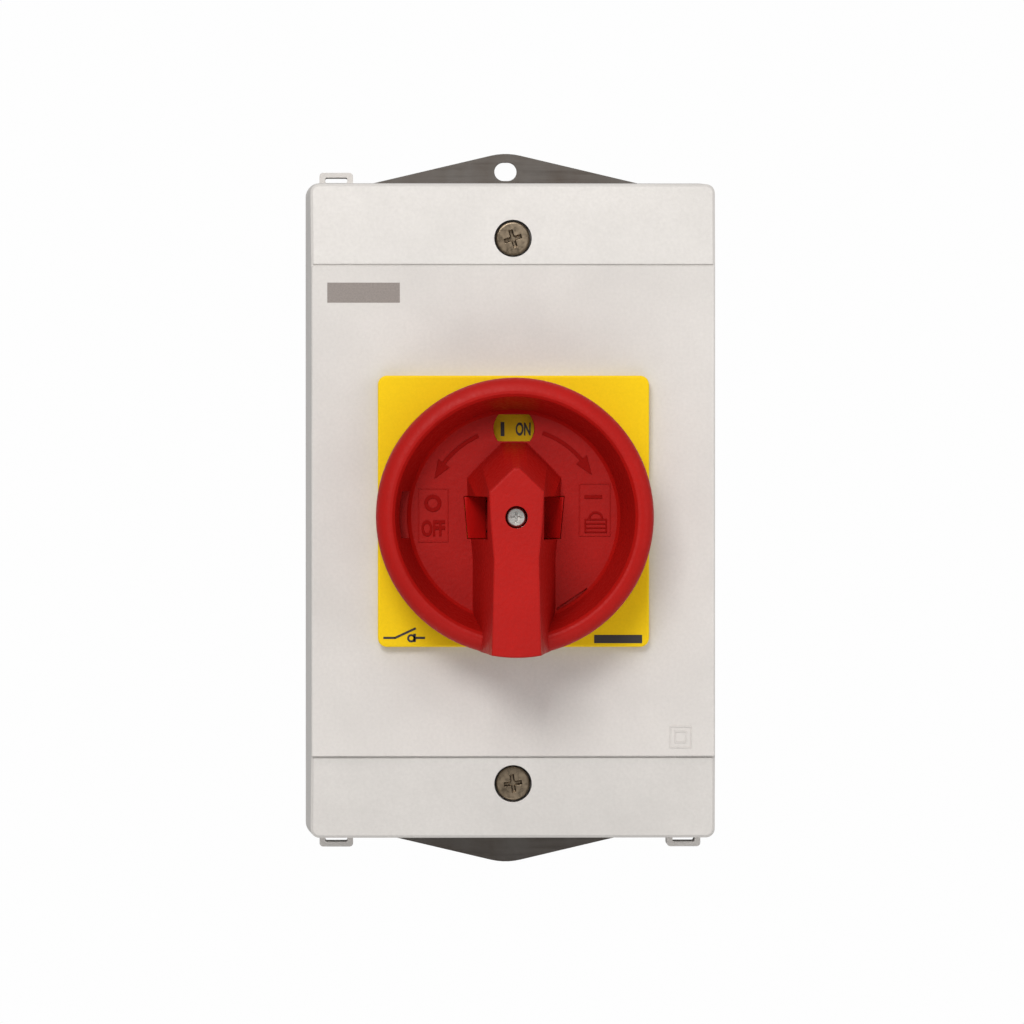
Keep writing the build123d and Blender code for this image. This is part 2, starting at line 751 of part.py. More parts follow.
def coil_spring(x, z, low, high, radius, wire_r, turns):
    """A round-wire compression spring along -Y between two heights."""
    height = high - low - 2 * wire_r
    with BuildPart() as spring:
        with BuildLine() as coil:
            Helix(
                pitch=height / turns,
                height=height,
                radius=radius,
                center=(x, -(low + wire_r), z),
                direction=(0, -1, 0),
            )
        with BuildSketch(Plane(origin=coil.line @ 0, z_dir=coil.line % 0)):
            Circle(wire_r)
        sweep()
    return spring.part


def make_springs(places, *sizes):
    """A group of equal springs, one solid each."""
    return Compound(children=[coil_spring(x, z, *sizes) for x, z in places])


# ---- switch block ----


def make_mounting_plate():
    """The steel plate inside the box that carries the switch and the two terminals."""
    with BuildPart() as plate:
        with BuildSketch(front(MOUNTING_PLATE_H)):
            RectangleRounded(86.0, 116.0, 3.0)
            with GridLocations(70.0, 100.0, 2, 2):
                Circle(1.7, mode=Mode.SUBTRACT)
            with Locations((0, -BOX_RISE)):
                with GridLocations(40.0, 70.0, 2, 2):
                    Circle(1.5, mode=Mode.SUBTRACT)
            with Locations((0, LOWER_HOLE_Z)):
                Circle(LOWER_ACCESS_R, mode=Mode.SUBTRACT)
        extrude(amount=MOUNTING_PLATE_T)
    return plate.part


def make_switch_foot():
    """The moulded floor of the switch, with ears for its fixing screws and spring pockets."""
    with BuildPart() as foot:
        with BuildSketch(front(FOOT_H)):
            RectangleRounded(BLOCK_W, 78.0, 3.0)
            with GridLocations(40.0, 70.0, 2, 2):
                Circle(1.7, mode=Mode.SUBTRACT)
            with GridLocations(2 * THROUGH_BOLT_X, 2 * THROUGH_BOLT_Z, 2, 2):
                Circle(1.3, mode=Mode.SUBTRACT)
        extrude(amount=FOOT_T)
        with BuildSketch(front(BLOCK_REAR_H)):
            with Locations((-8.0, 0), (8.0, 0)):
                Circle(2.4)
        extrude(amount=-1.5, mode=Mode.SUBTRACT)
    return foot.part


def make_contact_block():
    """The moulded block: three pole chambers, terminal pockets, carrier slot and rotor bore."""
    strip_places = [(x, side * TERMINAL_Z) for x in POLES for side in (-1, 1)]
    slot_places = [(x, side * 21.5) for x in POLES for side in (-1, 1)]
    wire_places = [(x, side * BLOCK_Z / 2) for x in POLES for side in (-1, 1)]
    with BuildPart() as block:
        with BuildSketch(front(BLOCK_REAR_H)):
            RectangleRounded(BLOCK_W, BLOCK_Z, 2.0)
        extrude(amount=BLOCK_FRONT_H - BLOCK_REAR_H)
        with BuildSketch(front(BLOCK_REAR_H)):
            with Locations(*[(x, 0) for x in POLES]):
                Rectangle(CHAMBER_W, 2 * CHAMBER_HALF_Z)
            Rectangle(45.2, 12.0)
        extrude(amount=BLOCK_FRONT_H - BLOCK_ROOF_T - BLOCK_REAR_H, mode=Mode.SUBTRACT)
        with BuildSketch(front(BLOCK_REAR_H)):
            Circle(ROTOR_R + RUNNING_GAP)
            with GridLocations(2 * THROUGH_BOLT_X, 2 * THROUGH_BOLT_Z, 2, 2):
                Circle(1.6)
        extrude(amount=BLOCK_FRONT_H - BLOCK_REAR_H, mode=Mode.SUBTRACT)
        with BuildSketch(front(STRIP_H)):
            with Locations(*strip_places):
                Rectangle(11.0, 8.0)
        extrude(amount=BLOCK_FRONT_H - STRIP_H, mode=Mode.SUBTRACT)
        with BuildSketch(front(STRIP_H)):
            with Locations(*slot_places):
                Rectangle(STRIP_W + 0.1, 2.0)
        extrude(amount=STRIP_T, mode=Mode.SUBTRACT)
        with BuildSketch(front(STRIP_H)):
            with Locations(*strip_places):
                Circle(TERMINAL_SCREW_R + 0.2)
        extrude(amount=-6.0, mode=Mode.SUBTRACT)
        with BuildSketch(front(STRIP_H + STRIP_T)):
            with Locations(*wire_places):
                Rectangle(STRIP_W, 3.0)
        extrude(amount=6.0, mode=Mode.SUBTRACT)
    return block.part


def make_latch_housing():
    """The front part of the switch, over the star wheel and its two detent springs."""
    with BuildPart() as latch:
        with BuildSketch(front(BLOCK_FRONT_H)):
            RectangleRounded(BLOCK_W, 44.0, 3.0)
        extrude(amount=LATCH_FRONT_H - BLOCK_FRONT_H)
        with BuildSketch(front(BLOCK_FRONT_H)):
            Rectangle(42.0, 36.0)
        extrude(amount=LATCH_FRONT_H - 2.0 - BLOCK_FRONT_H, mode=Mode.SUBTRACT)
        with BuildSketch(front(BLOCK_FRONT_H)):
            Circle(ROTOR_HUB_R + RUNNING_GAP)
            with GridLocations(2 * THROUGH_BOLT_X, 2 * THROUGH_BOLT_Z, 2, 2):
                Circle(1.6)
        extrude(amount=LATCH_FRONT_H - BLOCK_FRONT_H, mode=Mode.SUBTRACT)
    return latch.part


def cam_ramp():
    """One ramp of the rotor. Its plane gives a straight 3 mm fall over a quarter turn."""
    mean_h = FOLLOWER_H + FOLLOWER_PIN_R + CAM_CLEARANCE - CONTACT_TRAVEL / 2
    slope = CONTACT_TRAVEL / 2 / FOLLOWER_RADIUS
    surface = Plane(origin=(0, -mean_h, 0), z_dir=(-slope, -1, -slope))
    start, sweep_angle = -112.0, 134.0
    with BuildPart() as ramp:
        with BuildSketch(front(mean_h - 4.0)):
            with BuildLine():
                outer = CenterArc((0, 0), RAMP_OUTER_R, start, sweep_angle)
                inner = CenterArc((0, 0), RAMP_INNER_R, start, sweep_angle)
                Line(outer @ 0, inner @ 0)
                Line(outer @ 1, inner @ 1)
            make_face()
        extrude(amount=ROTOR_FLANGE_H + 0.5 - (mean_h - 4.0))
        split(bisect_by=surface, keep=Keep.TOP)
    return ramp.part


def make_rotor():
    """The turning part of the switch: two ramps behind a flange, and a keyed, socketed hub."""
    ramp = cam_ramp()
    opposite = ramp.rotate(Axis.Y, 180)
    with BuildPart() as rotor:
        with BuildSketch(front(ROTOR_FLANGE_H)):
            Circle(ROTOR_R)
        extrude(amount=BLOCK_FRONT_H - ROTOR_FLANGE_H)
        add(ramp)
        add(opposite)
        with BuildSketch(front(BLOCK_FRONT_H)):
            Circle(ROTOR_HUB_R)
        extrude(amount=LATCH_FRONT_H - BLOCK_FRONT_H)
        with BuildSketch(front(BLOCK_FRONT_H)):
            Rectangle(16.4, 2.4)
        extrude(amount=6.5)
        with BuildSketch(front(LATCH_FRONT_H)):
            Rectangle(8.1, 8.1)
        extrude(amount=-6.6, mode=Mode.SUBTRACT)
    return rotor.part


def make_detent_star():
    """The star wheel on the rotor's hub, with a notch each quarter turn."""
    with BuildPart() as star:
        with BuildSketch(front(BLOCK_FRONT_H + 1.0)):
            Circle(13.5)
            with PolarLocations(14.2, 4):
                Circle(2.0, mode=Mode.SUBTRACT)
            Circle(ROTOR_HUB_R + 0.03, mode=Mode.SUBTRACT)
            Rectangle(16.5, 2.5, mode=Mode.SUBTRACT)
        extrude(amount=5.0)
    return star.part


def make_detent_springs():
    """Two flat springs whose round noses rest in the star wheel's notches."""
    with BuildPart() as springs:
        with BuildSketch(front(BLOCK_FRONT_H + 2.0)):
            for side in (-1, 1):
                with Locations((0, side * 16.6)):
                    Rectangle(41.8, 0.6)
                with Locations((0, side * 14.2)):
                    Circle(1.8)
                with Locations((0, side * 15.4)):
                    Rectangle(2.4, 2.4)
        extrude(amount=3.0)
    return springs.part


def make_shaft_coupling():
    """The sleeve that joins the square shaft to the rotor's socket."""
    with BuildPart() as coupling:
        with BuildSketch(front(LATCH_FRONT_H + 0.3)):
            Circle(6.5)
        extrude(amount=13.2)
        with BuildSketch(front(LATCH_FRONT_H - 6.5)):
            Rectangle(8.0, 8.0)
        extrude(amount=6.8)
        with BuildSketch(front(SHAFT_REAR_H - 0.1)):
            Rectangle(SHAFT_SIDE + 0.1, SHAFT_SIDE + 0.1)
        extrude(amount=20.0, mode=Mode.SUBTRACT)
        with BuildSketch(Plane.YZ.offset(1.0)):
            with Locations((-COUPLING_SCREW_H, 0)):
                Circle(1.55)
        extrude(amount=8.0, mode=Mode.SUBTRACT)
    return coupling.part


def make_coupling_set_screw():
    """The grub screw that clamps the shaft in the coupling."""
    with BuildPart() as screw:
        with BuildSketch(Plane.YZ.offset(SHAFT_SIDE / 2 + 0.02)):
            with Locations((-COUPLING_SCREW_H, 0)):
                Circle(1.5)
        extrude(amount=3.2)
        with BuildSketch(Plane.YZ.offset(SHAFT_SIDE / 2 + 3.22)):
            with Locations((-COUPLING_SCREW_H, 0)):
                RegularPolygon(0.85, 6)
        extrude(amount=-1.5, mode=Mode.SUBTRACT)
    return screw.part


def make_contact_carrier():
    """The sliding crossbar with a window for each contact bridge and two follower lugs."""
    top_h = BRIDGE_H + BRIDGE_T
    with BuildPart() as carrier:
        with BuildSketch(front(CARRIER_H)):
            RectangleRounded(44.4, 11.2, 1.0)
        extrude(amount=CARRIER_T)
        with BuildSketch(front(CARRIER_H + CARRIER_T)):
            for x in POLES:
                with Locations((x - 3.9, 0), (x + 3.9, 0)):
                    Rectangle(1.2, 6.0)
        extrude(amount=top_h + 1.0 - CARRIER_H - CARRIER_T)
        with BuildSketch(front(top_h)):
            with Locations(*[(x, 0) for x in POLES]):
                Rectangle(9.0, 6.0)
        extrude(amount=1.0)
        with BuildSketch(front(CARRIER_H + CARRIER_T)):
            with Locations((-10.4, 0), (10.4, 0)):
                Rectangle(2.2, 6.0)
        extrude(amount=FOLLOWER_H + FOLLOWER_PIN_R - CARRIER_H - CARRIER_T)
        with BuildSketch(front(CARRIER_H + CARRIER_T)):
            with Locations(*[(x, 0) for x in POLES]):
                Circle(2.6)
        extrude(amount=-2.0, mode=Mode.SUBTRACT)
        with BuildSketch(front(CARRIER_H)):
            with Locations((-8.0, 0), (8.0, 0)):
                Circle(2.4)
        extrude(amount=1.5, mode=Mode.SUBTRACT)
        with BuildSketch(Plane.YZ):
            with Locations((-FOLLOWER_H, 0)):
                Circle(FOLLOWER_PIN_R + 0.02)
        extrude(amount=10.7, both=True, mode=Mode.SUBTRACT)
    return carrier.part


def make_follower_pins():
    """The two steel pins that ride on the rotor's ramps."""
    with BuildPart() as pins:
        for side in (-1, 1):
            with BuildSketch(Plane.YZ.offset(side * 5.9)):
                with Locations((-FOLLOWER_H, 0)):
                    Circle(FOLLOWER_PIN_R)
            extrude(amount=side * 4.7)
    return pins.part


def boxes_on_front(height, thickness, width, tall, places):
    """Equal rectangular blocks at one height, at the listed X and Z places."""
    with BuildPart() as blocks:
        with BuildSketch(front(height)):
            with Locations(*places):
                RectangleRounded(width, tall, 0.3)
        extrude(amount=thickness)
    return blocks.part


def make_terminal_strips(side):
    """Three copper strips, from the contact tips to the terminals, on one side."""
    low_z, high_z = 12.5, 29.8
    with BuildPart() as strips:
        with BuildSketch(front(STRIP_H)):
            with Locations(*[(x, side * (low_z + high_z) / 2) for x in POLES]):
                Rectangle(STRIP_W, high_z - low_z)
            with Locations(*[(x, side * TERMINAL_Z) for x in POLES]):
                Circle(TERMINAL_SCREW_R + 0.05, mode=Mode.SUBTRACT)
        extrude(amount=STRIP_T)
    return strips.part


def make_clamp_washers(places):
    """Square clamping washers under the terminal screws."""
    with BuildPart() as washers:
        with BuildSketch(front(STRIP_H + STRIP_T)):
            with Locations(*places):
                RectangleRounded(7.6, 7.6, 0.5)
                Circle(TERMINAL_SCREW_R + 0.1, mode=Mode.SUBTRACT)
        extrude(amount=1.2)
    return washers.part


def make_terminal_housing(x):
    """The open moulded tray that holds one of the two side terminals."""
    with BuildPart() as housing:
        with BuildSketch(front(FOOT_H)):
            with Locations((x, 0)):
                RectangleRounded(11.0, 26.0, 1.0)
        extrude(amount=14.0)
        with BuildSketch(front(FOOT_H + 3.0)):
            with Locations((x, 0)):
                Rectangle(7.2, 21.8)
        extrude(amount=11.0, mode=Mode.SUBTRACT)
        with BuildSketch(Plane.YZ.offset(x - 6.0)):
            with Locations((-(FOOT_H + 6.5), -5.5), (-(FOOT_H + 6.5), 5.5)):
                Circle(2.6)
        extrude(amount=12.0, mode=Mode.SUBTRACT)
    return housing.part


def make_terminal_bar(x):
    """A brass bar with two wire holes across it and two tapped holes from the front."""
    with BuildPart() as bar:
        with BuildSketch(front(FOOT_H + 3.0)):
            with Locations((x, 0)):
                RectangleRounded(7.0, 21.6, 0.4)
        extrude(amount=8.0)
        with BuildSketch(Plane.YZ.offset(x - 5.0)):
            with Locations((-(FOOT_H + 6.5), -5.5), (-(FOOT_H + 6.5), 5.5)):
                Circle(2.2)
        extrude(amount=10.0, mode=Mode.SUBTRACT)
        with BuildSketch(front(FOOT_H + 11.0)):
            with Locations((x, -5.5), (x, 5.5)):
                Circle(1.8)
        extrude(amount=-4.0, mode=Mode.SUBTRACT)
    return bar.part


def main():
    """Makes each sub-part and writes its STEP file."""
    cover_screw_places = on_box_places([(0, COVER_SCREW_Z), (0, -COVER_SCREW_Z)])
    upper_screw_z, lower_screw_z = cover_screw_places[0][1], cover_screw_places[1][1]
    wall_screw_places = on_box_places(corner_places(WALL_SCREW_X, WALL_SCREW_Z))
    plate_screw_places = on_box_places(corner_places(PLATE_SCREW_XY, PLATE_SCREW_XY))
    bolt_places = corner_places(THROUGH_BOLT_X, THROUGH_BOLT_Z)
    terminal_places = [(x, side * TERMINAL_Z) for x in POLES for side in (-1, 1)]
    tip_places = [(x, side * TIP_Z) for x in POLES for side in (-1, 1)]
    pole_places = [(x, 0) for x in POLES]
    side_terminals = [(side * SIDE_TERMINAL_X, z) for side in (-1, 1) for z in (-5.5, 5.5)]
    base_floor_h = WALL_PLATE_T + FLOOR_T
    parts = {
        "base_housing": on_box(make_base_housing()),
        "cover": on_box(make_cover()),
        "cover_gasket": on_box(make_cover_gasket()),
        "cover_screws": Compound(
            children=[make_cover_screw(upper_screw_z, 17.0), make_cover_screw(lower_screw_z, 8.0)]
        ),
        "cover_screw_seals": make_ring(WELL_FLOOR_H, SEAL_T, 4.0, 2.5, cover_screw_places),
        "cover_screw_inserts": make_ring(44.0, 10.4, 3.55, 2.45, cover_screw_places),
        "wall_plate": on_box(make_wall_plate()),
        "wall_plate_screws": make_pan_screws(
            wall_screw_places, base_floor_h, 3.8, 2.2, WALL_SCREW_R, 0.3
        ),
        "mounting_plate": on_box(make_mounting_plate()),
        "mounting_plate_screws": make_pan_screws(
            on_box_places(corner_places(35.0, 50.0)), FOOT_H, 3.0, 2.0, 1.45, 5.2
        ),
        "front_plate": on_box(make_front_plate()),
        "front_plate_gasket": make_ring(LID_H, 1.0, 16.4, 13.6, [(0, 0)]),
        "front_plate_screws": make_rear_screws(
            plate_screw_places, LID_H - WALL_T, 2.8, 2.0, 1.4, LID_H + 2.3
        ),
        "handle": make_handle(),
        "handle_screw": make_handle_screw(),
        "handle_bush": make_handle_bush(),
        "retaining_clip": make_retaining_clip(),
        "shaft_seal": make_shaft_seal(),
        "drive_shaft": make_drive_shaft(),
        "lock_slide": make_lock_slide(),
        "lock_slide_spring": make_springs([(0, 0)], 106.6, 117.8, 6.0, 0.4, 4),
        "shaft_coupling": make_shaft_coupling(),
        "coupling_set_screw": make_coupling_set_screw(),
        "switch_foot": make_switch_foot(),
        "contact_block": make_contact_block(),
        "latch_housing": make_latch_housing(),
        "through_bolts": make_pan_screws(bolt_places, LATCH_FRONT_H, 2.6, 1.8, 1.25, 9.8),
        "switch_fixing_screws": make_pan_screws(
            corner_places(20.0, 35.0), BLOCK_REAR_H, 3.0, 2.0, 1.45, 6.0
        ),
        "rotor": make_rotor(),
        "detent_star": make_detent_star(),
        "detent_springs": make_detent_springs(),
        "contact_carrier": make_contact_carrier(),
        "follower_pins": make_follower_pins(),
        "contact_bridges": boxes_on_front(BRIDGE_H, BRIDGE_T, 6.0, 34.0, pole_places),
        "moving_contact_tips": boxes_on_front(BRIDGE_H + BRIDGE_T, TIP_T, 4.4, 4.0, tip_places),
        "fixed_contact_tips": boxes_on_front(STRIP_H - TIP_T, TIP_T, 4.4, 4.0, tip_places),
        "contact_springs": make_springs(pole_places, CARRIER_H + 1.5, BRIDGE_H, 2.0, 0.25, 3),
        "carrier_return_springs": make_springs(
            [(-8.0, 0), (8.0, 0)], BLOCK_REAR_H - 1.5, CARRIER_H + 1.5, 1.8, 0.3, 4
        ),
        "line_contacts": make_terminal_strips(1),
        "load_contacts": make_terminal_strips(-1),
        "terminal_washers": make_clamp_washers(terminal_places),
        "terminal_screws": make_pan_screws(
            terminal_places, STRIP_H + STRIP_T + 1.2, 3.4, 2.4, TERMINAL_SCREW_R, 21.0
        ),
        "neutral_terminal_housing": make_terminal_housing(-SIDE_TERMINAL_X),
        "neutral_terminal_bar": make_terminal_bar(-SIDE_TERMINAL_X),
        "earth_terminal_housing": make_terminal_housing(SIDE_TERMINAL_X),
        "earth_terminal_bar": make_terminal_bar(SIDE_TERMINAL_X),
        "side_terminal_screws": make_pan_screws(
            side_terminals, FOOT_H + 11.4, 2.8, 1.8, 1.75, FOOT_H + 7.5
        ),
    }
    os.makedirs("parts", exist_ok=True)
    for name, part in parts.items():
        part.label = name
        export_step(part, f"parts/{name}.step")


main()
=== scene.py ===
import bmesh
import bpy
import json
import math
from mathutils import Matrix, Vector


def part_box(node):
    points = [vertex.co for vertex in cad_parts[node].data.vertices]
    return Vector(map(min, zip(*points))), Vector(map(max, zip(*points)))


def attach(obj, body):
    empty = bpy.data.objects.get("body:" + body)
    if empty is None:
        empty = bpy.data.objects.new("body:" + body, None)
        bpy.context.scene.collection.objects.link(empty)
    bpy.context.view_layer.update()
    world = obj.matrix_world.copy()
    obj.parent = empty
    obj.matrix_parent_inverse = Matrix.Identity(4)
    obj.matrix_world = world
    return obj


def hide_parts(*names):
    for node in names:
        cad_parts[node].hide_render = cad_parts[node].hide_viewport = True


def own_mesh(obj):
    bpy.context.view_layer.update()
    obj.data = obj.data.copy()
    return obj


# The look of an enclosed rotary isolator switch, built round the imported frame.
# Metres throughout, apart from the marks, whose outlines are in millimetres from the handle's axis.
# X runs right, Z up, and the handle faces -Y.

MM = 0.001
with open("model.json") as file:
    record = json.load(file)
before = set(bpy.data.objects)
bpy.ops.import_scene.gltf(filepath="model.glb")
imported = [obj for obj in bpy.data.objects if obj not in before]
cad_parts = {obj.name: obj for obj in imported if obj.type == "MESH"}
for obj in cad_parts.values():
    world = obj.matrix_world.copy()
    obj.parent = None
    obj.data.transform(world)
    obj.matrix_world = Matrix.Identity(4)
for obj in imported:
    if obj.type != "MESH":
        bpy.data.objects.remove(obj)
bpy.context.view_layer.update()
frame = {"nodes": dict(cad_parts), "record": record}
nodes = frame["nodes"]

PLATE_LOW, PLATE_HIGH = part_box("front_plate")
PLATE_FRONT = PLATE_LOW.y
LID_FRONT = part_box("cover")[0].y
BOX_RISE = (PLATE_LOW.z + PLATE_HIGH.z) / 2 / MM  # the box's middle above the handle's axis, in mm
DISH_STEP = 5.6 * MM  # how far the dish floor stands in front of the square plate
DISH_FLOOR = PLATE_FRONT - DISH_STEP

INK_T = 0.04 * MM  # thickness of printed ink
RAISED_T = 0.22 * MM  # height of the moulded signs on the dish
FINE_T = 0.12 * MM  # height of the moulded thin lines
SINK = 0.02 * MM  # how far a printed or raised mark reaches into the surface below it
FINE_LINE = 0.3  # width of the moulded thin lines, in mm
SYMBOL_LINE = 0.55  # width of the isolator symbol's lines, in mm
LETTER_WEIGHT = 0.035  # how far letter outlines are fattened, for letters one unit high
ARC_STEPS = 24  # straight steps in a mark's arc

PLASTIC_IOR = 1.49
PLASTIC_FINE = 1000.0  # noise scales: eroded grain, its coarser waves, and flow clouds
PLASTIC_COARSE = 260.0
PLASTIC_CLOUD = 38.0
METAL_GRAIN = 900.0
METAL_CLOUD = 120.0
METAL_EDGE = 0.15 * MM  # radius of worn edges on metal
RUBBER_EDGE = 0.2 * MM
RUBBER_DUST = 420.0
INK_THIN = 2600.0
FLOOR_CLOUD = 3.0

LAMP_COLOUR = (1.0, 0.985, 0.965)
LAMP_TARGET = Vector((0, -0.1, 0))
SKY_BELOW, SKY_ABOVE = 0.42, 0.60  # the sky's strength straight down and straight up
BACKDROP = (0.99, 0.99, 0.99, 1.0)
FLOOR_HALF = 7.0
FLOOR_LEVEL = -1.3
LENS = 293.2  # focal length in millimetres, on a sensor 36 mm wide
CAMERA_PLACE = Vector((-0.040, -2.100, 0.0175 + BOX_RISE * MM))
CAMERA_TARGET = Vector((-0.31 * MM, LID_FRONT, -0.19 * MM + BOX_RISE * MM))


def put_in_scene(name, data):
    """A new object that holds some mesh, curve, lamp or camera data."""
    thing = bpy.data.objects.new(name, data)
    bpy.context.scene.collection.objects.link(thing)
    return thing


# ---- shader helpers ----


def node_setup(name):
    """A node material, its link function, its shader and a function that adds nodes to it."""
    material = bpy.data.materials.new(name)
    material.use_nodes = True
    tree = material.node_tree
    shader = tree.nodes["Principled BSDF"]

    def add(kind, **values):
        """A node with its settings and inputs by name, an input's spaces written as underscores."""
        node = tree.nodes.new(kind)
        for key, value in values.items():
            if hasattr(node, key):
                setattr(node, key, value)
            else:
                node.inputs[key.replace("_", " ")].default_value = value
        return node

    return material, tree.links.new, shader, add


def noise(add, link, coords, scale, detail=4.0, stretch=(1, 1, 1)):
    """Noise in object space, stretched along one axis where the surface is brushed."""
    mapping = add("ShaderNodeMapping")
    mapping.inputs["Scale"].default_value = stretch
    link(coords, mapping.inputs["Vector"])
    texture = add("ShaderNodeTexNoise", Scale=scale, Detail=detail, Roughness=0.6)
    link(mapping.outputs["Vector"], texture.inputs["Vector"])
    return texture.outputs["Fac"]


def spread(add, link, value, low, high, start=0.3, end=0.7):
    """Maps a value onto a range, from the stretch where noise mostly lies unless another is given."""
    node = add("ShaderNodeMapRange")
    node.inputs["From Min"].default_value = start
    node.inputs["From Max"].default_value = end
    node.inputs["To Min"].default_value = low
    node.inputs["To Max"].default_value = high
    link(value, node.inputs["Value"])
    return node.outputs["Result"]


def blend_colours(add, link, factor, first, second):
    """A colour between two, by a factor. Either may be a colour or a socket."""
    node = add("ShaderNodeMix", data_type="RGBA")
    link(factor, node.inputs["Factor"])
    for socket, colour in ((node.inputs[6], first), (node.inputs[7], second)):
        if isinstance(colour, bpy.types.NodeSocket):
            link(colour, socket)
        else:
            socket.default_value = (*colour, 1.0)
    return node.outputs[2]


def shade(colour, factor):
    """A colour made lighter or darker."""
    return tuple(min(channel * factor, 1.0) for channel in colour)


def rounded_normal(add, radius):
    """The surface's normal, as if its edges were rounded off."""
    return add("ShaderNodeBevel", samples=4, Radius=radius).outputs["Normal"]


def edge_mask(add, link, rounded, strength):
    """A value that rises from 0 to the strength on sharp edges, where handling wears a surface."""
    geometry = add("ShaderNodeNewGeometry")
    match = add("ShaderNodeVectorMath", operation="DOT_PRODUCT")
    link(rounded, match.inputs[0])
    link(geometry.outputs["Normal"], match.inputs[1])
    return spread(add, link, match.outputs["Value"], strength, 0.0, 0.75, 1.0)


def bumped(add, link, height, distance, strength, normal):
    """A normal raised and lowered by a height value."""
    bump = add("ShaderNodeBump", Strength=strength, Distance=distance)
    link(height, bump.inputs["Height"])
    link(normal, bump.inputs["Normal"])
    return bump.outputs["Normal"]


def moulded(
    name, colour, grain, depth, rough, edge_r=0.25 * MM, wear=0.35, mottle=0.05, gloss=0.5
):
    """Moulded plastic: eroded grain, faint flow mottling and slightly rubbed edges."""
    material, link, shader, add = node_setup(name)
    coords = add("ShaderNodeTexCoord").outputs["Object"]
    fine = noise(add, link, coords, PLASTIC_FINE / grain, 3.0)
    coarse = noise(add, link, coords, PLASTIC_COARSE / grain, 2.0)
    cloud = noise(add, link, coords, PLASTIC_CLOUD, 3.0)
    normal = rounded_normal(add, edge_r)
    edges = edge_mask(add, link, normal, wear)
    deep, pale = shade(colour, 1.0 - mottle), shade(colour, 1.0 + mottle)
    flow = blend_colours(add, link, spread(add, link, cloud, 0.0, 1.0), deep, pale)
    speck = blend_colours(add, link, spread(add, link, fine, 0.0, 0.22), flow, shade(colour, 0.72))
    rubbed = blend_colours(add, link, edges, speck, shade(colour, 1.35))
    link(rubbed, shader.inputs["Base Color"])
    link(spread(add, link, fine, rough - 0.08, rough + 0.1), shader.inputs["Roughness"])
    waves = bumped(add, link, coarse, depth * 1.6, 0.5, normal)
    link(bumped(add, link, fine, depth, 0.8, waves), shader.inputs["Normal"])
    shader.inputs["IOR"].default_value = PLASTIC_IOR
    shader.inputs["Specular IOR Level"].default_value = gloss
    return material


def metal(name, colour, rough, brush=(1, 1, 1), scratch=0.35, stain=None):
    """Sheet or turned metal: brushing or mill grain, stains and bright edges."""
    material, link, shader, add = node_setup(name)
    coords = add("ShaderNodeTexCoord").outputs["Object"]
    grain = noise(add, link, coords, METAL_GRAIN, 5.0, brush)
    cloud = noise(add, link, coords, METAL_CLOUD, 4.0)
    normal = rounded_normal(add, METAL_EDGE)
    edges = edge_mask(add, link, normal, 0.8)
    dark = stain or shade(colour, 0.6)
    tone = blend_colours(add, link, spread(add, link, cloud, 0.0, 0.85), colour, dark)
    lined = blend_colours(add, link, spread(add, link, grain, 0.0, scratch), tone, shade(colour, 1.5))
    bright = blend_colours(add, link, edges, lined, shade(colour, 1.9))
    link(bright, shader.inputs["Base Color"])
    link(spread(add, link, grain, rough - 0.1, rough + 0.15), shader.inputs["Roughness"])
    link(bumped(add, link, grain, 0.012 * MM, 0.5, normal), shader.inputs["Normal"])
    shader.inputs["Metallic"].default_value = 1.0
    return material


def rubber(name, colour):
    """Sealing rubber: dull, with a dusty bloom."""
    material, link, shader, add = node_setup(name)
    coords = add("ShaderNodeTexCoord").outputs["Object"]
    dust = noise(add, link, coords, RUBBER_DUST, 6.0)
    bloom = blend_colours(add, link, spread(add, link, dust, 0.0, 0.5), colour, shade(colour, 2.6))
    link(bloom, shader.inputs["Base Color"])
    link(spread(add, link, dust, 0.62, 0.85), shader.inputs["Roughness"])
    normal = rounded_normal(add, RUBBER_EDGE)
    link(bumped(add, link, dust, 0.02 * MM, 0.6, normal), shader.inputs["Normal"])
    return material


def ink(name, colour):
    """Pad-printed ink: nearly even, a little thin in places."""
    material, link, shader, add = node_setup(name)
    coords = add("ShaderNodeTexCoord").outputs["Object"]
    thin = noise(add, link, coords, INK_THIN, 3.0)
    tone = blend_colours(add, link, spread(add, link, thin, 0.0, 0.4), colour, shade(colour, 1.7))
    link(tone, shader.inputs["Base Color"])
    link(spread(add, link, thin, 0.45, 0.65), shader.inputs["Roughness"])
    return material


# ---- materials of the record's slots ----

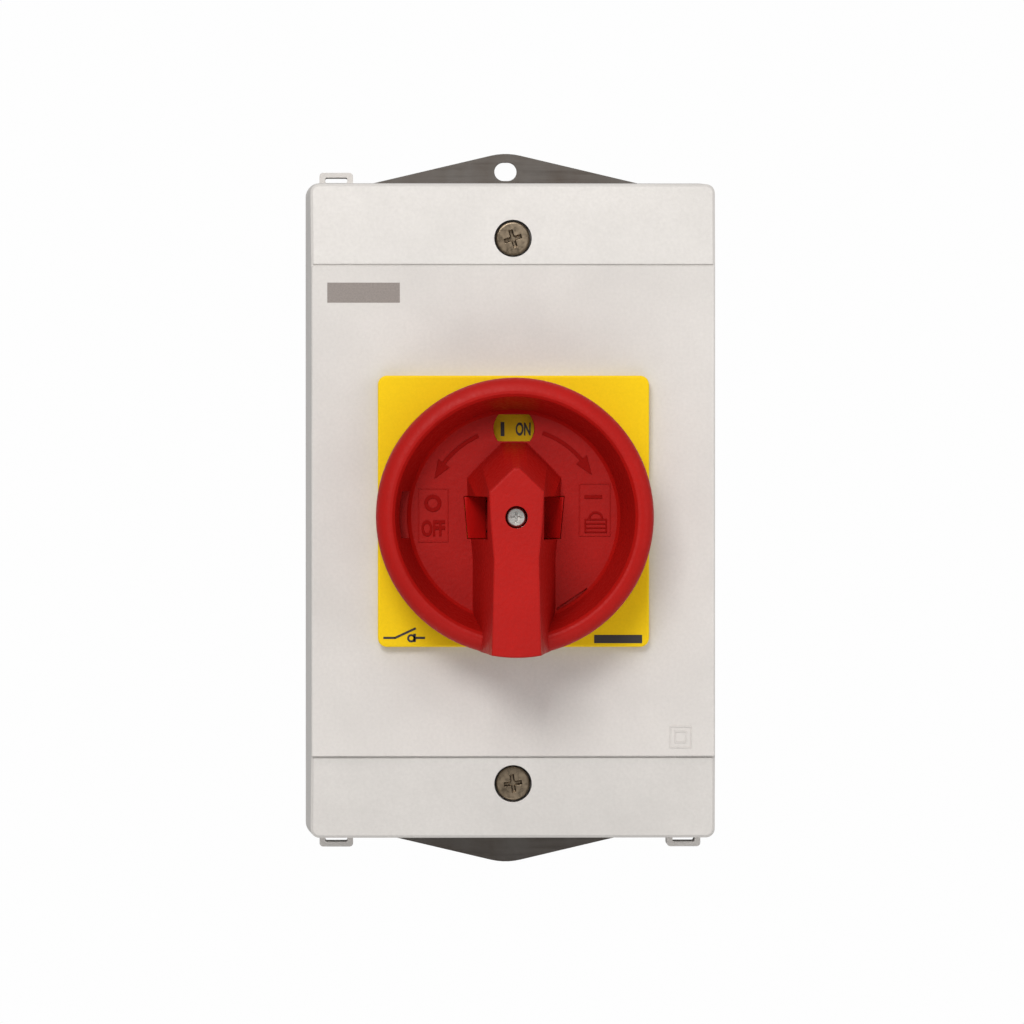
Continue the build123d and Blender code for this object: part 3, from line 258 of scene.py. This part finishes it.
LENGTHWAYS = (1, 1, 0.04)
ACROSS = (0.05, 1, 1)
MATERIALS = {
    "housing_grey": moulded("housing_grey", (0.60, 0.575, 0.55), 0.8, 0.03 * MM, 0.5),
    "plate_yellow": moulded(
        "plate_yellow", (0.83, 0.56, 0.004), 0.6, 0.01 * MM, 0.45, mottle=0.02, wear=0.2, gloss=0.12
    ),
    "handle_red": moulded(
        "handle_red", (0.365, 0.006, 0.004), 1.0, 0.10 * MM, 0.45, 0.3 * MM, mottle=0.08, gloss=0.14
    ),
    "slide_red": moulded("slide_red", (0.47, 0.006, 0.005), 0.6, 0.03 * MM, 0.4, gloss=0.1),
    "bearing_black": moulded("bearing_black", (0.022, 0.022, 0.024), 0.6, 0.015 * MM, 0.45),
    "seal_black": rubber("seal_black", (0.018, 0.018, 0.02)),
    "cover_screw_nickel": metal(
        "cover_screw_nickel", (0.24, 0.19, 0.135), 0.3, stain=(0.12, 0.09, 0.06)
    ),
    "zinc_steel": metal("zinc_steel", (0.66, 0.65, 0.62), 0.3, stain=(0.45, 0.45, 0.42)),
    "dark_steel": metal(
        "dark_steel", (0.105, 0.097, 0.09), 0.42, ACROSS, 0.5, stain=(0.07, 0.055, 0.045)
    ),
    "spring_steel": metal("spring_steel", (0.50, 0.50, 0.50), 0.28),
    "terminal_brass": metal("terminal_brass", (0.72, 0.50, 0.20), 0.3),
    "contact_copper": metal("contact_copper", (0.72, 0.33, 0.19), 0.32, LENGTHWAYS),
    "contact_silver": metal("contact_silver", (0.80, 0.79, 0.76), 0.25),
    "switch_black": moulded("switch_black", (0.035, 0.035, 0.037), 0.7, 0.02 * MM, 0.5),
    "switch_grey": moulded("switch_grey", (0.21, 0.215, 0.22), 0.7, 0.02 * MM, 0.5),
    "rotor_white": moulded("rotor_white", (0.66, 0.63, 0.56), 0.6, 0.01 * MM, 0.35),
    "neutral_blue": moulded("neutral_blue", (0.03, 0.12, 0.42), 0.6, 0.015 * MM, 0.45),
    "earth_green": moulded("earth_green", (0.02, 0.24, 0.06), 0.6, 0.015 * MM, 0.45),
}
PRINT_BLACK = ink("print_black", (0.018, 0.014, 0.012))
PRINT_GREY = ink("print_grey", (0.20, 0.175, 0.16))
# The raised dish signs are the handle's own red plastic. This darker copy of that red is painted
# shade.
SHADED_MARK_RED = moulded("mark_red_painted_shade", (0.27, 0.003, 0.002), 0.7, 0.05 * MM, 0.45, gloss=0.05, wear=0.2)


def dress_nodes():
    """Gives each CAD node the detailed material of its slot."""
    for part in frame["record"]["subparts"]:
        material = MATERIALS[part["material_slot"]]
        for place in nodes[part["node"]].material_slots:
            place.material = material


def squeeze_spring(node, body):
    """A copy of a CAD spring on a mesh of its own, attached to a body, in place of the CAD one."""
    spring = put_in_scene(node + "_coil", nodes[node].data.copy())
    spring.data.materials.clear()
    spring.data.materials.append(MATERIALS["spring_steel"])
    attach(spring, body)
    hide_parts(node)
    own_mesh(spring)


def squeeze_springs():
    """The slide's spring goes with the handle group, and the carrier's springs with the enclosure."""
    squeeze_spring("lock_slide_spring", "handle_group")
    squeeze_spring("carrier_return_springs", "enclosure")


# ---- marks: flat shapes in X and Z that stand a little proud of a surface facing -Y ----


def finish_mark(name, mesh, body, material):
    """Makes a finished mesh a piece of its own on a body."""
    piece = put_in_scene(name, mesh)
    mesh.materials.clear()
    mesh.materials.append(material)
    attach(piece, body)


def raise_outline(tool, outline, rear_y, front_y):
    """Adds a closed prism of one outline, between two depths."""
    rear = [tool.verts.new((x * MM, rear_y, z * MM)) for x, z in outline]
    face = [tool.verts.new((x * MM, front_y, z * MM)) for x, z in outline]
    tool.faces.new(rear)
    tool.faces.new(face[::-1])
    for i, start in enumerate(rear):
        j = (i + 1) % len(rear)
        tool.faces.new((start, face[i], face[j], rear[j]))


def make_mark(name, outlines, surface_y, height, body, material, slot):
    """One piece made of prisms on a surface."""
    tool = bmesh.new()
    for outline in outlines:
        raise_outline(tool, outline, surface_y + SINK, surface_y - height)
    bmesh.ops.recalc_face_normals(tool, faces=tool.faces)
    mesh = bpy.data.meshes.new(name)
    tool.to_mesh(mesh)
    tool.free()
    finish_mark(name, mesh, body, material)


def stroke(points, width):
    """A ribbon's outline along a line of points, with its ends cut square."""
    left = []
    right = []
    for i, (x, z) in enumerate(points):
        before = points[max(i - 1, 0)]
        after = points[min(i + 1, len(points) - 1)]
        along = Vector((after[0] - before[0], after[1] - before[1])).normalized()
        side = Vector((-along.y, along.x)) * width / 2
        left.append((x + side.x, z + side.y))
        right.append((x - side.x, z - side.y))
    return left + right[::-1]


def on_circle(centre, radius, angle):
    """The point of a circle at an angle in radians."""
    return (centre[0] + radius * math.cos(angle), centre[1] + radius * math.sin(angle))


def arc_points(centre, radius, start, end):
    """Points along a circle's arc, from one angle to another, in degrees."""
    turns = [start + (end - start) * i / ARC_STEPS for i in range(ARC_STEPS + 1)]
    return [on_circle(centre, radius, math.radians(turn)) for turn in turns]


def ring_strokes(centre, radius, width):
    """A ring as two half ribbons that meet end to end."""
    return [stroke(arc_points(centre, radius, a, a + 180.0), width) for a in (0.0, 180.0)]


def bar_outline(left, right, low, high):
    """A rectangle's outline."""
    return [(left, low), (right, low), (right, high), (left, high)]


def frame_strokes(left, right, low, high, width):
    """A rectangular line frame as four bars that meet at the corners."""
    half = width / 2
    return [
        bar_outline(left - half, right + half, low - half, low + half),
        bar_outline(left - half, right + half, high - half, high + half),
        bar_outline(left - half, left + half, low + half, high - half),
        bar_outline(right - half, right + half, low + half, high - half),
    ]


def arrow_strokes(radius, start, end, width, head):
    """A curved arrow about the handle's axis, with its head at the end angle."""
    direction = math.copysign(1.0, end - start)
    shaft = stroke(arc_points((0, 0), radius, start, end), width)
    angle = math.radians(end)
    barb = head * 0.38
    tip = on_circle((0, 0), radius, angle + direction * head / radius)
    inner = on_circle((0, 0), radius - barb, angle)
    outer = on_circle((0, 0), radius + barb, angle)
    return [shaft, [inner, outer, tip]]


def text_mesh(name, text):
    """The solid letters of a text, in the font's own units, with Z through their thickness."""
    curve = bpy.data.curves.new(name + "_outline", "FONT")
    curve.body = text
    curve.extrude = 0.5
    curve.offset = LETTER_WEIGHT
    writer = put_in_scene(name + "_writer", curve)
    bpy.context.view_layer.update()
    shown = writer.evaluated_get(bpy.context.evaluated_depsgraph_get())
    mesh = bpy.data.meshes.new_from_object(shown)
    bpy.data.objects.remove(writer)
    mesh.name = name
    return mesh


def letter_mark(name, text, centre, height, width, surface_y, thickness, body, material, slot):
    """Raised or printed letters, fitted into a box about a centre."""
    mesh = text_mesh(name, text)
    xs = [v.co.x for v in mesh.vertices]
    ys = [v.co.y for v in mesh.vertices]
    scale_x = width * MM / (max(xs) - min(xs))
    scale_z = height * MM / (max(ys) - min(ys))
    for v in mesh.vertices:
        across = (v.co.x - (max(xs) + min(xs)) / 2) * scale_x + centre[0] * MM
        up = (v.co.y - (max(ys) + min(ys)) / 2) * scale_z + centre[1] * MM
        depth = surface_y + SINK if v.co.z < 0 else surface_y - thickness
        v.co = (across, depth, up)
    tool = bmesh.new()
    tool.from_mesh(mesh)
    bmesh.ops.remove_doubles(tool, verts=tool.verts, dist=0.001 * MM)
    bmesh.ops.recalc_face_normals(tool, faces=tool.faces)
    tool.to_mesh(mesh)
    tool.free()
    finish_mark(name, mesh, body, material)


def print_plate_marks():
    """What is printed on the square plate: isolator symbol, plain bar, I ON and O OFF."""
    printed = (PLATE_FRONT, INK_T, "enclosure", PRINT_BLACK, "bearing_black")
    low = BOX_RISE - 30.3
    isolator = [
        stroke([(-31.2, low), (-28.3, low)], SYMBOL_LINE),
        stroke([(-28.5, low - 0.05), (-23.4, low + 2.3)], SYMBOL_LINE),
        *ring_strokes((-24.5, low - 0.1), 0.75, 0.5),
        bar_outline(-24.0, -23.4, low - 1.0, low + 1.0),
        stroke([(-23.4, low), (-21.2, low)], SYMBOL_LINE),
    ]
    make_mark("isolator_symbol", isolator, *printed)
    make_mark("plate_blank_bar", [bar_outline(19.3, 30.8, low - 1.3, low + 0.7)], *printed)
    make_mark("on_bar", [bar_outline(-3.1, -2.2, 19.1, 22.5)], *printed)
    letter_mark("on_letters", "ON", (2.3, 20.8), 3.2, 3.6, *printed)
    letter_mark("off_ring", "O", (-20.4, 2.9), 3.2, 2.3, *printed)
    letter_mark("off_letters", "OFF", (-20.4, -2.4), 2.9, 4.8, *printed)


def mark_lid():
    """A plain bar at the cover's upper left, and the raised double square at its lower right."""
    printed = (LID_FRONT, INK_T, "enclosure", PRINT_GREY, "switch_grey")
    raised = (LID_FRONT, FINE_T, "enclosure", MATERIALS["housing_grey"], "housing_grey")
    bar = bar_outline(-44.6, -27.2, BOX_RISE + 50.0, BOX_RISE + 54.8)
    make_mark("lid_blank_bar", [bar], *printed)
    low = BOX_RISE - 56.7
    squares = frame_strokes(37.7, 42.7, low, low + 5.0, FINE_LINE)
    squares += frame_strokes(38.9, 41.5, low + 1.2, low + 3.8, FINE_LINE)
    make_mark("double_square", squares, *raised)


def emboss_dish():
    """Raised marks on the dish floor: two arrows, two frames, ring, OFF, bar and padlock."""
    # The raised signs take the darker red, which is painted shade. The thin frames keep the plain
    # handle red.
    raised = (DISH_FLOOR, RAISED_T, "handle_group", SHADED_MARK_RED, "handle_red")
    line = (DISH_FLOOR, FINE_T, "handle_group", MATERIALS["handle_red"], "handle_red")
    arrows = arrow_strokes(21.0, 114.0, 143.0, 0.9, 4.4) + arrow_strokes(21.0, 71.0, 40.0, 0.9, 4.4)
    make_mark("dish_arrows", arrows, *raised)
    make_mark("dish_off_frame", frame_strokes(-22.8, -15.8, -6.1, 6.5, FINE_LINE), *line)
    make_mark("dish_off_ring", ring_strokes((-19.4, 3.1), 1.6, 0.9), *raised)
    letter_mark("dish_off_letters", "OFF", (-19.3, -2.9), 3.9, 5.6, *raised)
    make_mark("dish_lock_frame", frame_strokes(15.6, 22.9, -4.7, 7.7, FINE_LINE), *line)
    make_mark("dish_on_bar", [bar_outline(16.8, 21.0, 4.2, 5.0)], *raised)
    padlock = [
        *frame_strokes(17.0, 22.0, -3.8, -0.8, 0.35),
        stroke([(17.2, -1.8), (21.8, -1.8)], 0.35),
        stroke([(17.2, -2.8), (21.8, -2.8)], 0.35),
        stroke(arc_points((19.5, -0.6), 1.5, 0.0, 180.0), 0.5),
    ]
    make_mark("dish_padlock", padlock, *raised)


# ---- studio ----


def make_floor():
    """A wide pale floor, well below the wall-hung object."""
    mesh = bpy.data.meshes.new("floor")
    near, far = -FLOOR_HALF, FLOOR_HALF
    corners = [(x, y, FLOOR_LEVEL) for x, y in ((near, near), (far, near), (far, far), (near, far))]
    mesh.from_pydata(corners, [], [(0, 1, 2, 3)])
    floor = put_in_scene("floor", mesh)
    material, link, shader, add = node_setup("floor_white")
    coords = add("ShaderNodeTexCoord").outputs["Object"]
    cloud = noise(add, link, coords, FLOOR_CLOUD, 2.0)
    tone = blend_colours(add, link, cloud, (0.80, 0.80, 0.80), (0.84, 0.84, 0.84))
    link(tone, shader.inputs["Base Color"])
    shader.inputs["Roughness"].default_value = 0.8
    mesh.materials.append(material)


def softbox(name, place, size, power):
    """A rectangular lamp aimed at the object."""
    lamp = bpy.data.lights.new(name, "AREA")
    lamp.shape = "RECTANGLE"
    lamp.size, lamp.size_y = size
    lamp.energy = power
    lamp.color = LAMP_COLOUR
    light = put_in_scene(name, lamp)
    light.location = place
    light.rotation_mode = "QUATERNION"
    light.rotation_quaternion = (LAMP_TARGET - Vector(place)).to_track_quat("-Z", "Y")


def make_world():
    """White backdrop for the camera, and a soft sky that is brighter above than below."""
    world = bpy.data.worlds.new("studio")
    bpy.context.scene.world = world
    world.use_nodes = True
    tree = world.node_tree
    link = tree.links.new
    sky = tree.nodes["Background"]
    sky.inputs["Color"].default_value = (1.0, 1.0, 1.0, 1.0)
    direction = tree.nodes.new("ShaderNodeTexCoord")
    split = tree.nodes.new("ShaderNodeSeparateXYZ")
    link(direction.outputs["Generated"], split.inputs["Vector"])
    height = spread(tree.nodes.new, link, split.outputs["Z"], SKY_BELOW, SKY_ABOVE, -1.0, 1.0)
    link(height, sky.inputs["Strength"])
    backdrop = tree.nodes.new("ShaderNodeBackground")
    backdrop.inputs["Color"].default_value = BACKDROP
    path = tree.nodes.new("ShaderNodeLightPath")
    mix = tree.nodes.new("ShaderNodeMixShader")
    link(path.outputs["Is Camera Ray"], mix.inputs["Fac"])
    link(sky.outputs["Background"], mix.inputs[1])
    link(backdrop.outputs["Background"], mix.inputs[2])
    link(mix.outputs["Shader"], tree.nodes["World Output"].inputs["Surface"])


def make_camera():
    """A long lens in front of the box, a little to the left of the handle's axis and above it."""
    camera_data = bpy.data.cameras.new("camera")
    camera_data.lens = LENS
    camera_data.sensor_width = 36.0
    camera_data.clip_start = 0.1
    camera_data.clip_end = 30.0
    camera = put_in_scene("camera", camera_data)
    camera.location = CAMERA_PLACE
    camera.rotation_mode = "QUATERNION"
    camera.rotation_quaternion = (CAMERA_TARGET - camera.location).to_track_quat("-Z", "Y")
    bpy.context.scene.camera = camera


dress_nodes()
squeeze_springs()
print_plate_marks()
mark_lid()
emboss_dish()
make_floor()
make_world()
softbox("key_light", (-0.15, -1.25, 1.5), (1.1, 0.8), 7.0)
softbox("front_light", (-0.4, -2.0, 0.9), (0.8, 0.6), 22.0)
softbox("right_fill", (1.7, -1.3, 0.3), (0.7, 1.3), 6.0)
softbox("low_fill", (0.0, -1.6, -1.1), (1.2, 0.6), 5.0)
make_camera()
bpy.context.scene.view_settings.view_transform = "Standard"
